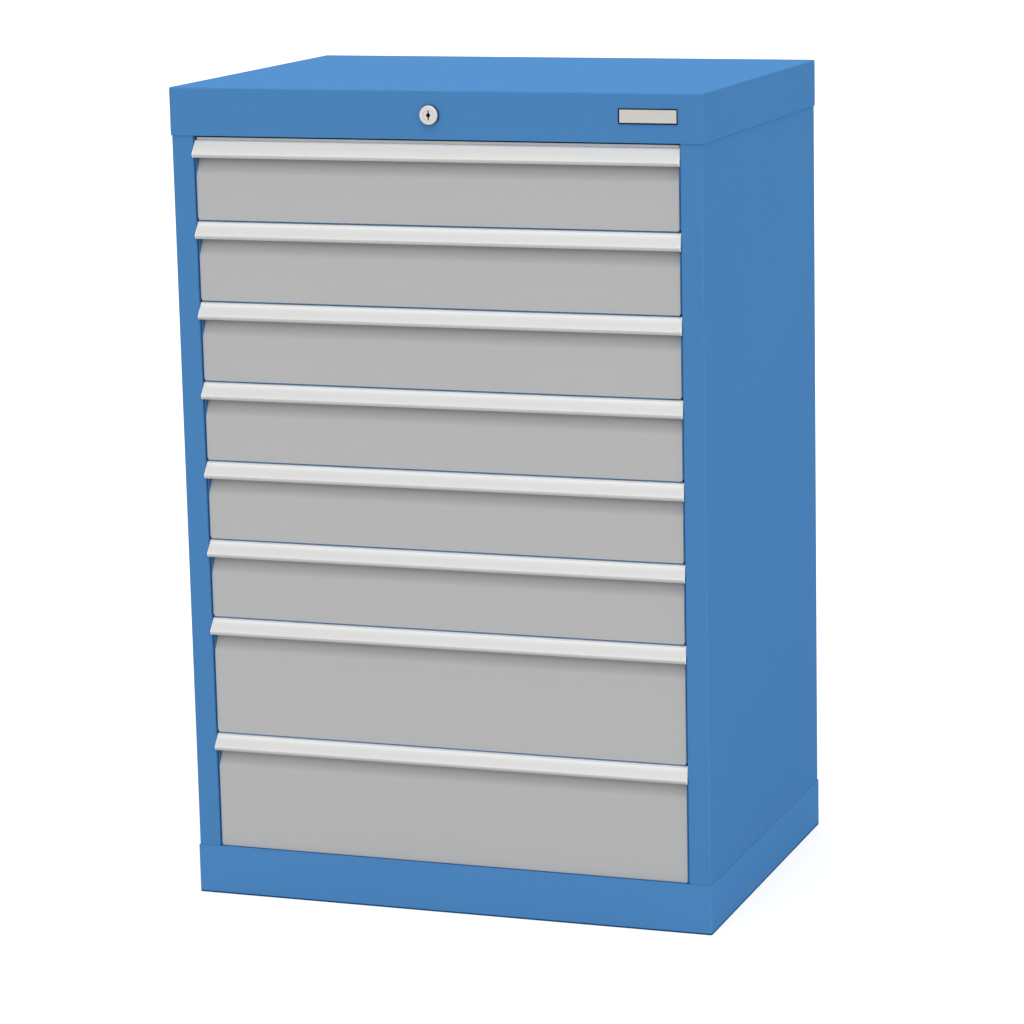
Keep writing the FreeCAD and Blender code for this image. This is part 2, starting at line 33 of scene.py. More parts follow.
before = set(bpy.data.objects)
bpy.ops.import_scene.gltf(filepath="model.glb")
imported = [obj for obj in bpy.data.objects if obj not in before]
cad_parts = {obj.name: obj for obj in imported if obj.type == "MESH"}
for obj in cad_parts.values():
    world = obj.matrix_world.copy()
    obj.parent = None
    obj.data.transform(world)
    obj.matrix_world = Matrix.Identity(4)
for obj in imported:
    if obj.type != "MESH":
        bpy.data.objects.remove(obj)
LOG = logging.getLogger("drawer_cabinet")
Colour = tuple[float, float, float]
Place = tuple[float, float, float]
Settings = Mapping[str, Any]
Values = Mapping[Union[int, str], Any]
MM = 0.001
MIDDLE = 0.5  # mean of a noise or of a random tint


# Shader sheets

def swatch(red: int, green: int, blue: int) -> Colour:
    """Turn a paint swatch into scene colour.

    Args:
        red: Red from 0 to 255.
        green: Green from 0 to 255.
        blue: Blue from 0 to 255.

    Returns:
        The linear colour.
    """
    def linear(value: int) -> float:
        """Undo the display curve of one channel."""
        share = value / 255
        return share / 12.92 if share <= 0.04045 else ((share + 0.055) / 1.055) ** 2.4
    return (linear(red), linear(green), linear(blue))


def toned(colour: Colour, share: float, ceiling: float = 1.0) -> Colour:
    """Darken or lighten a colour.

    Args:
        colour: The colour.
        share: What each channel is multiplied by.
        ceiling: The most that a channel may reach.

    Returns:
        The new colour.
    """
    red, green, blue = (min(channel * share, ceiling) for channel in colour)
    return (red, green, blue)


class Signal:
    """A number that varies over a surface, written like ordinary arithmetic."""

    def __init__(self, sheet: "ShaderSheet", socket: bpy.types.NodeSocket) -> None:
        """Wrap an output socket of a sheet."""
        self.sheet = sheet
        self.socket = socket

    def _join(self, operation: str, first: "Operand", second: "Operand") -> "Signal":
        """Add one Math node.

        Args:
            operation: The node's operation.
            first: First operand.
            second: Second operand.

        Returns:
            The result.
        """
        made = self.sheet.node("ShaderNodeMath", {"operation": operation}, {0: first, 1: second})
        return Signal(self.sheet, made.outputs[0])

    def __add__(self, other: "Operand") -> "Signal":
        """Sum."""
        return self._join("ADD", self, other)

    def __radd__(self, other: "Operand") -> "Signal":
        """Reflected sum."""
        return self._join("ADD", other, self)

    def __sub__(self, other: "Operand") -> "Signal":
        """Difference."""
        return self._join("SUBTRACT", self, other)

    def __rsub__(self, other: "Operand") -> "Signal":
        """Reflected difference."""
        return self._join("SUBTRACT", other, self)

    def __mul__(self, other: "Operand") -> "Signal":
        """Product."""
        return self._join("MULTIPLY", self, other)

    def __rmul__(self, other: "Operand") -> "Signal":
        """Reflected product."""
        return self._join("MULTIPLY", other, self)

    def __pow__(self, other: "Operand") -> "Signal":
        """Power."""
        return self._join("POWER", self, other)

    def most(self, other: "Operand") -> "Signal":
        """The larger of two."""
        return self._join("MAXIMUM", self, other)

    def size(self) -> "Signal":
        """The number without its sign."""
        return self._join("ABSOLUTE", self, 0.0)

    def fade(self, start: float, end: float) -> "Signal":
        """Rise smoothly from 0 to 1.

        Args:
            start: Where the result is 0.
            end: Where the result is 1; it may lie below start.

        Returns:
            The mask.
        """
        low, high = sorted((start, end))
        made = self.sheet.node("ShaderNodeMapRange", {"interpolation_type": "SMOOTHSTEP"},
                               {"Value": self, "From Min": low, "From Max": high})
        rising = Signal(self.sheet, made.outputs["Result"])
        return rising if start <= end else 1.0 - rising


Operand = Union[Signal, float]
Tint = Union[Colour, bpy.types.NodeSocket]


def add_node(tree: bpy.types.NodeTree, kind: str, settings: Settings,
             values: Values) -> bpy.types.Node:
    """Add any node to a tree.

    Args:
        tree: The tree.
        kind: The node's type.
        settings: Properties, set first.
        values: Values or links of its sockets, by number, identifier or name.

    Returns:
        The node.
    """
    made = tree.nodes.new(kind)
    for key, value in settings.items():
        setattr(made, key, value)
    for key, value in values.items():
        if isinstance(key, int):
            socket = made.inputs[key]
        else:
            socket = next((s for s in made.inputs if s.identifier == key), None)
            socket = socket or made.inputs[key]
        source = value.socket if isinstance(value, Signal) else value
        if isinstance(source, bpy.types.NodeSocket):
            tree.links.new(source, socket)
        else:
            socket.default_value = source
    return made


class ShaderSheet:
    """The node tree of one material, or of the world."""

    def __init__(self, owner: Union[bpy.types.Material, bpy.types.World]) -> None:
        """Start an empty sheet.

        Args:
            owner: The new material or world.
        """
        self.owner = owner
        owner.use_nodes = True
        self.tree = owner.node_tree
        self.tree.nodes.clear()
        self._object_place: bpy.types.NodeSocket | None = None

    def node(self, kind: str, settings: Settings, values: Values) -> bpy.types.Node:
        """Add any node.

        Args:
            kind: The node's type.
            settings: Properties, set first.
            values: Values or links of its sockets, by number, identifier or name.

        Returns:
            The node.
        """
        return add_node(self.tree, kind, settings, values)

    def place(self) -> bpy.types.NodeSocket:
        """Find the place on the piece, in metres of the cabinet's frame.

        Returns:
            The socket of Object coordinates.
        """
        if self._object_place is None:
            self._object_place = self.node("ShaderNodeTexCoord", {}, {}).outputs["Object"]
        return self._object_place

    def axis(self, letter: str) -> Signal:
        """One coordinate of the place.

        Args:
            letter: X, Y or Z.

        Returns:
            The coordinate in metres.
        """
        made = self.node("ShaderNodeSeparateXYZ", {}, {0: self.place()})
        return Signal(self, made.outputs[letter])

    def mottle(self, grain: float, detail: float = 2.0,
               stretch: Place = (1.0, 1.0, 1.0)) -> Signal:
        """Cloudy noise.

        Args:
            grain: Size of its patches in metres.
            detail: How many finer layers it has.
            stretch: How much shorter the patches are along X, Y and Z.

        Returns:
            Noise around 0.5.
        """
        moved = self.node("ShaderNodeMapping", {}, {"Vector": self.place(), "Scale": stretch})
        made = self.node("ShaderNodeTexNoise", {},
                         {"Vector": moved.outputs[0], "Scale": 1 / grain, "Detail": detail})
        return Signal(self, made.outputs["Fac"])

    def blend(self, share: Operand, first: Tint, second: Tint) -> bpy.types.NodeSocket:
        """Mix two colours.

        Args:
            share: How much of the second.
            first: Colour or socket.
            second: Colour or socket.

        Returns:
            The mixed colour.
        """
        def full(colour: Tint) -> Union[tuple[float, ...], bpy.types.NodeSocket]:
            """Give a plain colour its alpha."""
            return (*colour, 1.0) if isinstance(colour, tuple) else colour
        made = self.node("ShaderNodeMix", {"data_type": "RGBA"},
                         {"Factor_Float": share, "A_Color": full(first), "B_Color": full(second)})
        return next(s for s in made.outputs if s.identifier == "Result_Color")

    def relief(self, height: Signal, depth: float) -> bpy.types.NodeSocket:
        """Turn a height into a bumped normal.

        Args:
            height: Height as a share.
            depth: Height of 1, in metres.

        Returns:
            The normal.
        """
        made = self.node("ShaderNodeBump", {},
                         {"Strength": 1.0, "Distance": depth, "Height": height})
        return made.outputs["Normal"]

    def surface(self, values: Values) -> bpy.types.Material:
        """Close the sheet with a surface shader.

        Args:
            values: Values or links of the shader's sockets.

        Returns:
            The material.
        """
        shader = self.node("ShaderNodeBsdfPrincipled", {}, values)
        self.node("ShaderNodeOutputMaterial", {}, {"Surface": shader.outputs[0]})
        return self.owner


# Finishes
# In their fields a share is a weight, detail a noise's number of finer layers, depth a bump's
# height, and roughness after a pattern's name how far that pattern moves the roughness. A mask
# is 0 at its start and 1 at its full; beside an edge, crest or foot these are shares of it.

@dataclass(frozen=True)
class PowderCoat:
    """Baked powder paint: even colour, a fine orange peel and a soft sheen; a painted shade can
    darken its bottom edge.
    """

    name: str
    colour: Colour
    roughness: float = 0.68
    drift: float = 0.03
    cloud: float = 280.0 * MM
    cloud_detail: float = 3.0
    cloud_share: float = 0.8
    cloud_roughness: float = 0.08
    speck: float = 0.9 * MM
    speck_detail: float = 1.0
    speck_share: float = 0.35
    peel: float = 1.5 * MM
    peel_depth: float = 0.012 * MM
    peel_roughness: float = 0.06
    sheen: float = 0.0015
    # The foot is the height of a painted contact shadow along the bottom edge; 0 leaves it out.
    foot_shade: float = 0.0
    foot_shade_full: float = 0.6
    foot_shade_colour: Colour = (0.0, 0.0, 0.0)

    def material(self) -> bpy.types.Material:
        """Build the finish.

        Returns:
            The material.
        """
        sheet = ShaderSheet(bpy.data.materials.new(self.name))
        cloud = sheet.mottle(self.cloud, self.cloud_detail) - MIDDLE
        speck = sheet.mottle(self.speck, self.speck_detail) - MIDDLE
        peel = sheet.mottle(self.peel)
        tone = cloud * self.cloud_share + speck * self.speck_share + MIDDLE
        paint = sheet.blend(tone, toned(self.colour, 1 - self.drift),
                            toned(self.colour, 1 + self.drift))
        # Painted shade: over the lowest few millimetres the paint darkens to its foot colour, a
        # painted contact shadow along the bottom edge.
        if self.foot_shade > 0:
            foot_shade = sheet.axis("Z").fade(self.foot_shade, self.foot_shade * self.foot_shade_full)
            paint = sheet.blend(foot_shade, paint, self.foot_shade_colour)
        return sheet.surface({
            "Base Color": paint,
            "Roughness": (self.roughness + cloud * self.cloud_roughness
                          + (peel - MIDDLE) * self.peel_roughness),
            "Specular IOR Level": self.sheen,
            "Normal": sheet.relief(peel, self.peel_depth)})


@dataclass(frozen=True)
class MattAluminium:
    """Extruded and anodised aluminium with fine lines along the strip; its fold, nose and end
    carry painted highlights, and painted light lifts the shade just below the fold.
    """

    name: str
    colour: Colour
    fold_y: float
    nose_y: float
    end_x: float
    # Painted light: the shares for the fold and end, the crest and the nose lighten the colour, as
    # painted highlights and as painted light below the fold.
    edge_highlight: float = 1.44
    crest_light: float = 1.3
    crest_depth: float = 4.8 * MM
    crest_back: float = 1.3 * MM
    crest_back_start: float = 1.1
    nose_highlight: float = 1.04
    dulling: float = 0.955
    brightest: float = 0.95
    edge: float = 1.1 * MM
    nose_full: float = 0.6
    fold_start: float = 0.8
    fold_full: float = 0.3
    end_full: float = 0.5
    edge_polish: float = 0.08
    roughness: float = 0.46
    metal: float = 0.2
    line: float = 0.35 * MM
    line_stretch: Place = (0.004, 1.0, 1.0)
    line_depth: float = 0.004 * MM
    line_share: float = 0.6
    line_roughness: float = 0.12
    cloud: float = 90.0 * MM
    cloud_stretch: Place = (0.3, 1.0, 1.0)

    def material(self) -> bpy.types.Material:
        """Build the finish.

        Returns:
            The material.
        """
        sheet = ShaderSheet(bpy.data.materials.new(self.name))
        lines = sheet.mottle(self.line, stretch=self.line_stretch)
        cloud = sheet.mottle(self.cloud, stretch=self.cloud_stretch)
        # Painted light: a lighter copy of the colour for the painted light below the fold, and
        # painted highlights for the edges and the nose.
        grey, crest_lit, highlight, nose_lit = (
            toned(self.colour, share, self.brightest)
            for share in (self.dulling, self.crest_light, self.edge_highlight, self.nose_highlight))
        plain = sheet.blend(lines * self.line_share + cloud * (1 - self.line_share), grey,
                            self.colour)
        behind_nose = sheet.axis("Y") - self.nose_y
        behind_fold = sheet.axis("Y") - self.fold_y
        above = behind_fold.fade(self.crest_back * self.crest_back_start, self.crest_back)
        crest_light = behind_fold.fade(-self.crest_depth, 0.0) * above
        nose = behind_nose.fade(self.edge, self.edge * self.nose_full)
        fold = behind_fold.fade(-self.edge * self.fold_start, -self.edge * self.fold_full) * above
        end = sheet.axis("X").size().fade(self.end_x - self.edge,
                                          self.end_x - self.edge * self.end_full)
        # The fold and end masks together place the painted edge highlights; there the roughness
        # also drops.
        edges = 1.0 - (1.0 - fold) * (1.0 - end)
        plain = sheet.blend(nose, sheet.blend(crest_light, plain, crest_lit), nose_lit)
        return sheet.surface({
            "Base Color": sheet.blend(edges, plain, highlight),
            "Roughness": (self.roughness + (lines - MIDDLE) * self.line_roughness
                          - edges * self.edge_polish),
            "Metallic": self.metal,
            "Normal": sheet.relief(lines, self.line_depth)})


@dataclass(frozen=True)
class ZincPlate:
    """Zinc on steel: grey-blue flakes with soft rolling lines."""

    name: str
    colour: Colour
    roughness: float = 0.38
    flake: float = 5.0 * MM
    flake_share: float = 0.55
    flake_roughness: float = 0.25
    roll: float = 0.6 * MM
    roll_stretch: Place = (1.0, 0.02, 1.0)
    roll_depth: float = 0.006 * MM
    roll_roughness: float = 0.1
    dulling: float = 0.8

    def material(self) -> bpy.types.Material:
        """Build the finish.

        Returns:
            The material.
        """
        sheet = ShaderSheet(bpy.data.materials.new(self.name))
        flakes = sheet.node("ShaderNodeTexVoronoi", {"feature": "F1"},
                            {"Vector": sheet.place(), "Scale": 1 / self.flake})
        tint = sheet.node("ShaderNodeSeparateColor", {}, {0: flakes.outputs["Color"]})
        cell = Signal(sheet, tint.outputs[0])
        roll = sheet.mottle(self.roll, stretch=self.roll_stretch)
        tone = cell * self.flake_share + roll * (1 - self.flake_share)
        rough = ((cell - MIDDLE) * self.flake_share * self.flake_roughness
                 + (roll - MIDDLE) * self.roll_roughness)
        return sheet.surface({
            "Base Color": sheet.blend(tone, toned(self.colour, self.dulling), self.colour),
            "Roughness": self.roughness + rough,
            "Metallic": 1.0,
            "Normal": sheet.relief(roll, self.roll_depth)})


@dataclass(frozen=True)
class TurnedNickel:
    """Nickel-plated lock metal: turning rings and a dark joint, a painted pale highlight on the
    rim, a painted shade on the head's side wall and a painted shade in the keyway.
    """

    name: str
    colour: Colour
    centre_x: float
    centre_z: float
    face_y: float
    plug_radius: float
    rim_radius: float
    rim_highlight_colour: Colour
    wall_y: float
    wall_shade_colour: Colour
    keyway_shade_colour: Colour = swatch(10, 10, 10)
    keyway_start: float = 0.1 * MM
    keyway_full: float = 0.5 * MM
    keyway_inset: float = 0.3 * MM
    keyway_roughness: float = 0.4
    joint_colour: Colour = swatch(70, 70, 70)
    joint_share: float = 0.3
    joint_reach: float = 0.35 * MM
    joint_full: float = 0.15 * MM
    wall_start: float = -0.2 * MM
    wall_full: float = 0.1 * MM
    rim_width: float = 0.4 * MM
    rim_roughness: float = 0.1
    ring_pitch: float = 0.25 * MM
    ring_detail: float = 2.0
    ring_depth: float = 0.003 * MM
    ring_roughness: float = 0.12
    dulling: float = 0.93
    roughness: float = 0.34
    metal: float = 0.3

    def material(self) -> bpy.types.Material:
        """Build the finish.

        Returns:
            The material.
        """
        sheet = ShaderSheet(bpy.data.materials.new(self.name))
        across = sheet.axis("X") - self.centre_x
        up = sheet.axis("Z") - self.centre_z
        radius = (across * across + up * up) ** 0.5
        rings = sheet.node("ShaderNodeTexNoise", {"noise_dimensions": "1D"},
                           {"W": radius, "Scale": 1 / self.ring_pitch,
                            "Detail": self.ring_detail})
        ring = Signal(sheet, rings.outputs["Fac"])
        # Painted shade: the keyway inside the plug is painted near-black, the shade deep in the
        # slot.
        depth = (sheet.axis("Y") - self.face_y).fade(self.keyway_start, self.keyway_full)
        inside = depth * radius.fade(self.plug_radius, self.plug_radius - self.keyway_inset)
        joint = (radius - self.plug_radius).size().fade(self.joint_reach, self.joint_full)
        joint = joint * self.joint_share
        # Painted shade: behind wall_y the head's side wall is painted dark, the shade on its side
        # away from the light.
        wall_shade = (sheet.axis("Y") - self.wall_y).fade(self.wall_start, self.wall_full)
        rim = radius.fade(self.rim_radius - self.rim_width, self.rim_radius)
        metal = sheet.blend(ring, toned(self.colour, self.dulling), self.colour)
        # Painted highlight: the bevelled rim takes a pale blue colour for the light it catches.
        metal = sheet.blend(rim, metal, self.rim_highlight_colour)
        metal = sheet.blend(joint, metal, self.joint_colour)
        metal = sheet.blend(wall_shade * rim, metal, self.wall_shade_colour)
        return sheet.surface({
            "Base Color": sheet.blend(inside, metal, self.keyway_shade_colour),
            "Roughness": (self.roughness + (ring - MIDDLE) * self.ring_roughness
                          + inside * self.keyway_roughness + rim * self.rim_roughness),
            "Metallic": self.metal * (1.0 - inside),
            "Normal": sheet.relief(ring, self.ring_depth)})


@dataclass(frozen=True)
class BrushedPlate:
    """Pale brushed plate with lines along its length."""

    name: str
    colour: Colour
    dulling: float = 0.9
    line: float = 0.25 * MM
    line_detail: float = 3.0
    line_stretch: Place = (0.02, 1.0, 1.0)
    line_depth: float = 0.004 * MM
    line_share: float = 0.6
    line_roughness: float = 0.15
    cloud: float = 20.0 * MM
    roughness: float = 0.4
    metal: float = 0.2

    def material(self) -> bpy.types.Material:
        """Build the finish.

        Returns:
            The material.
        """
        sheet = ShaderSheet(bpy.data.materials.new(self.name))
        lines = sheet.mottle(self.line, self.line_detail, self.line_stretch)
        cloud = sheet.mottle(self.cloud)
        tone = lines * self.line_share + cloud * (1 - self.line_share)
        return sheet.surface({
            "Base Color": sheet.blend(tone, toned(self.colour, self.dulling), self.colour),
            "Roughness": self.roughness + (lines - MIDDLE) * self.line_roughness,
            "Metallic": self.metal,
            "Normal": sheet.relief(lines, self.line_depth)})


@dataclass(frozen=True)
class PaintedShadeRim:
    """Dull near-black blue on a raised rim: a painted shadow line round the plate."""

    name: str
    colour: Colour
    roughness: float = 0.55
    sheen: float = 0.06
    grain: float = 0.4 * MM
    grain_depth: float = 0.01 * MM
    grain_roughness: float = 0.1
    paling: float = 1.25

    def material(self) -> bpy.types.Material:
        """Build the finish.

        Returns:
            The material.
        """
        sheet = ShaderSheet(bpy.data.materials.new(self.name))
        grain = sheet.mottle(self.grain)
        return sheet.surface({
            "Base Color": sheet.blend(grain, self.colour, toned(self.colour, self.paling)),
            "Roughness": self.roughness + (grain - MIDDLE) * self.grain_roughness,
            "Specular IOR Level": self.sheen,
            "Normal": sheet.relief(grain, self.grain_depth)})


Recipe = Union[PowderCoat, MattAluminium, ZincPlate, TurnedNickel, BrushedPlate, PaintedShadeRim]


class Finish(Enum):
    """Every finish that is the same wherever it is used."""

    BODY = PowderCoat("body_powder_coat", swatch(74, 129, 183))
    # Painted light and shade: the plinth's paint is a lighter copy of the body paint, standing in
    # for bounce light that the floor does not give, and its foot is a painted contact shadow.
    PLINTH = PowderCoat("plinth_powder_coat", swatch(77, 133, 189), foot_shade=2.6 * MM,
                        foot_shade_colour=swatch(26, 70, 110))
    FRONT = PowderCoat("front_powder_coat", swatch(181, 181, 181), drift=0.015)
    BOX = PowderCoat("drawer_box_powder_coat", swatch(70, 122, 174))
    SLIDE = ZincPlate("slide_zinc", swatch(188, 192, 196), roughness=0.3, flake=2.5 * MM,
                      flake_share=0.2)
    ZINC = ZincPlate("bracket_zinc", swatch(176, 180, 184))
    SCREW = ZincPlate("screw_zinc", swatch(190, 192, 194), roughness=0.28, flake=1.2 * MM)
    PLATE = BrushedPlate("plate_metal", swatch(206, 203, 197))
    # Painted shade: the plate's rim is near-black blue, the shadow line round the plate.
    RIM = PaintedShadeRim("plate_rim_painted_shade", swatch(12, 34, 62))


class Paintbox:
    """Keeps one material for each finish."""

    def __init__(self) -> None:
        """Start with no material mixed."""
        self._mixed: dict[str, bpy.types.Material] = {}

    def get(self, finish: Union[Finish, Recipe]) -> bpy.types.Material:
        """Mix a finish once.

        Args:
            finish: A Finish, or a finish object of its own.

        Returns:
            The material.
        """
        recipe = finish.value if isinstance(finish, Finish) else finish
        if recipe.name not in self._mixed:
            self._mixed[recipe.name] = recipe.material()
        return self._mixed[recipe.name]

    def coat(self, nodes: Iterable[str], finish: Union[Finish, Recipe]) -> None:
        """Give CAD nodes a finish.

        Args:
            nodes: Names of the nodes.
            finish: The finish.
        """
        material = self.get(finish)
        for name in nodes:
            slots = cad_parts[name].data.materials
            slots.clear()
            slots.append(material)
            LOG.info("coated %s with %s", name, material.name)


# Repeated fittings

@dataclass(frozen=True)
class HeadForm:
    """Proportions of a fastener head."""

    rim: float
    recess: float
    recess_depth: float


class Head(Enum):
    """Kinds of fastener head."""

    SOCKET_SCREW = HeadForm(rim=0.86, recess=0.5, recess_depth=0.55)
    RIVET = HeadForm(rim=0.62, recess=0.28, recess_depth=0.2)


def head_tree(head: Head, sides: int, material: bpy.types.Material) -> bpy.types.NodeTree:
    """Write the node tree that sets one head on every point, along the point's facing.

    Args:
        head: Kind of head.
        sides: Sides of its outline.
        material: The head's material.

    Returns:
        The tree, with named inputs for its sizes.
    """
    tree = bpy.data.node_groups.new(head.name.lower() + "_heads", "GeometryNodeTree")
    face = tree.interface
    face.new_socket("Geometry", in_out="INPUT", socket_type="NodeSocketGeometry")
    for label in ("Head Radius", "Head Height"):
        face.new_socket(label, in_out="INPUT", socket_type="NodeSocketFloat")
    face.new_socket("Geometry", in_out="OUTPUT", socket_type="NodeSocketGeometry")

    def add(kind: str, settings: Settings, values: Values) -> bpy.types.Node:
        """Add a node to this tree."""
        return add_node(tree, kind, settings, values)

    def times(first: bpy.types.NodeSocket, second: float) -> bpy.types.NodeSocket:
        """Product of two numbers."""
        return add("ShaderNodeMath", {"operation": "MULTIPLY"}, {0: first, 1: second}).outputs[0]

    given = add("NodeGroupInput", {}, {}).outputs
    cone = add("GeometryNodeMeshCone", {"fill_type": "NGON"},
               {"Vertices": sides, "Radius Bottom": given["Head Radius"],
                "Radius Top": times(given["Head Radius"], head.value.rim),
                "Depth": given["Head Height"]})
    inset = add("GeometryNodeExtrudeMesh", {"mode": "FACES"},
                {"Mesh": cone.outputs["Mesh"], "Selection": cone.outputs["Top"],
                 "Offset Scale": 0.0, "Individual": False})
    ring = add("GeometryNodeScaleElements", {"domain": "FACE"},
               {"Geometry": inset.outputs["Mesh"], "Selection": inset.outputs["Top"],
                "Scale": head.value.recess})
    recess = add("GeometryNodeExtrudeMesh", {"mode": "FACES"},
                 {"Mesh": ring.outputs[0], "Selection": inset.outputs["Top"],
                  "Offset Scale": times(given["Head Height"], -head.value.recess_depth),
                  "Individual": False})
    facing = add("GeometryNodeInputNamedAttribute", {"data_type": "FLOAT_VECTOR"},
                 {"Name": "facing"})
    turned = add("FunctionNodeAlignRotationToVector", {"axis": "Z"},
                 {"Vector": facing.outputs["Attribute"]})
    rows = add("GeometryNodeInstanceOnPoints", {},
               {"Points": given["Geometry"], "Instance": recess.outputs["Mesh"],
                "Rotation": turned.outputs[0]})
    real = add("GeometryNodeRealizeInstances", {}, {"Geometry": rows.outputs[0]})
    dressed = add("GeometryNodeSetMaterial", {},
                  {"Geometry": real.outputs[0], "Material": material})
    add("NodeGroupOutput", {}, {0: dressed.outputs[0]})
    return tree


@dataclass
class FastenerKind:
    """One kind of fastener, set in rows by Geometry Nodes."""

    head: Head
    radius: float
    height: float
    finish: Finish
    sides: int = 12
    tree: bpy.types.NodeTree | None = None

    def row(self, name: str, paints: Paintbox, body: str,
            places: Sequence[tuple[Place, Place]]) -> bpy.types.Object:
        """Set a row of heads as one plain mesh that rides on a body.

        Args:
            name: The row's name.
            paints: The mixed finishes.
            body: The body that carries the heads.
            places: Where each head sits and which way it faces.

        Returns:
            The finished piece.
        """
        if self.tree is None:
            self.tree = head_tree(self.head, self.sides, paints.get(self.finish))
        points = bpy.data.meshes.new(name + "_points")
        points.from_pydata([place for place, _ in places], [], [])
        aims = points.attributes.new("facing", "FLOAT_VECTOR", "POINT")
        for item, (_, facing) in zip(aims.data, places):
            item.vector = facing
        piece = bpy.data.objects.new(name, points)
        bpy.context.scene.collection.objects.link(piece)
        modifier = piece.modifiers.new("heads", "NODES")
        modifier.node_group = self.tree
        sizes = {"Head Radius": self.radius, "Head Height": self.height}
        for item in self.tree.interface.items_tree:
            if item.in_out == "INPUT" and item.name in sizes:
                modifier[item.identifier] = sizes[item.name]
        graph = bpy.context.evaluated_depsgraph_get()
        mesh = bpy.data.meshes.new_from_object(piece.evaluated_get(graph))
        mesh.name = name
        piece.modifiers.remove(modifier)
        piece.data = mesh
        bpy.data.meshes.remove(points)
        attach(piece, body)
        LOG.info("%s: %d heads on %s", name, len(places), body)
        return piece


def spread(low: float, high: float, count: int) -> list[float]:
    """Even places from one end to the other.

    Args:
        low: First place.
        high: Last place.
        count: How many.

    Returns:
        The places.
    """
    return [low + (high - low) * step / (count - 1) for step in range(count)]


def bar_piece(name: str, bars: Sequence[tuple[Place, Place]], bevel: float,
              material: bpy.types.Material, body: str) -> bpy.types.Object:
    """Make thin bars with softened edges, each between two opposite corners, as one piece.

    Args:
        name: The piece's name.
        bars: Lowest and highest corner of each bar.
        bevel: Width of their softened edges.
        material: Its material.
        body: The body that carries it.

    Returns:
        The piece.
    """
    form = bmesh.new()
    for low, high in bars:
        for vert in bmesh.ops.create_cube(form, size=1.0)["verts"]:
            vert.co = Vector([low[i] + (high[i] - low[i]) * (vert.co[i] + 0.5) for i in range(3)])
    bmesh.ops.bevel(form, geom=list(form.edges), offset=bevel, segments=2, affect="EDGES")
    mesh = bpy.data.meshes.new(name)
    form.to_mesh(mesh)
    form.free()
    mesh.materials.append(material)
    piece = bpy.data.objects.new(name, mesh)
    bpy.context.scene.collection.objects.link(piece)
    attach(piece, body)
    LOG.info("%s rides on %s", name, body)
    return piece


# Sub-assemblies

@dataclass
class Housing:
    """The painted shell, its uprights and the rivets that hold the back."""

    rivet: FastenerKind = field(default_factory=lambda: FastenerKind(
        Head.RIVET, radius=3.4 * MM, height=1.1 * MM, finish=Finish.BODY))
    rivets_each_side: int = 6
    rivet_inset: float = 12.5 * MM
    end_margin: float = 60.0 * MM

    def dress(self, paints: Paintbox) -> None:
        """Coat the shell.

        Args:
            paints: The mixed finishes.
        """
        paints.coat(["top_cover", "left_side_panel", "right_side_panel", "back_panel",
                     "base_plate"], Finish.BODY)
        paints.coat(["base_plinth"], Finish.PLINTH)
        paints.coat(["runner_posts"], Finish.ZINC)
        self.fasten_back(paints)

    def fasten_back(self, paints: Paintbox) -> None:
        """Rivet the side panels' rear flanges to the back sheet.

        Args:
            paints: The mixed finishes.
        """
        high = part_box("right_side_panel")[1]
        low_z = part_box("base_plinth")[1].z + self.end_margin
        high_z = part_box("top_cover")[0].z - self.end_margin
        places = [((side * (high.x - self.rivet_inset), high.y, z), (0.0, 1.0, 0.0))
                  for side in (-1, 1) for z in spread(low_z, high_z, self.rivets_each_side)]
        self.rivet.row("back_panel_rivets", paints, "cabinet", places)


@dataclass
class CentralLock:
    """Lock head, plug and the linkage behind the header."""

    bevel: float = 1.5 * MM
    dark_share: float = 0.6
    metal_colour: Colour = swatch(221, 217, 212)
    # The rim colour is a painted highlight and the wall colour a painted shade.
    rim_highlight_colour: Colour = swatch(190, 204, 222)
    wall_shade_colour: Colour = swatch(26, 44, 66)

    def dress(self, paints: Paintbox) -> None:
        """Coat the lock.

        Args:
            paints: The mixed finishes.
        """
        low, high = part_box("lock_housing")
        plug_low, plug_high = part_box("lock_plug")
        centre = (low + high) / 2
        nickel = TurnedNickel(
            "lock_nickel", self.metal_colour, centre_x=centre.x, centre_z=centre.z,
            face_y=plug_low.y, plug_radius=(plug_high.x - plug_low.x) / 2,
            rim_radius=(high.x - low.x) / 2 - self.bevel, rim_highlight_colour=self.rim_highlight_colour,
            wall_y=low.y + self.bevel * self.dark_share, wall_shade_colour=self.wall_shade_colour)
        paints.coat(["lock_housing", "lock_plug"], nickel)
        paints.coat(["lock_nut", "lock_cam", "transfer_bar", "lock_bar", "lock_bar_guides"],
                    Finish.ZINC)


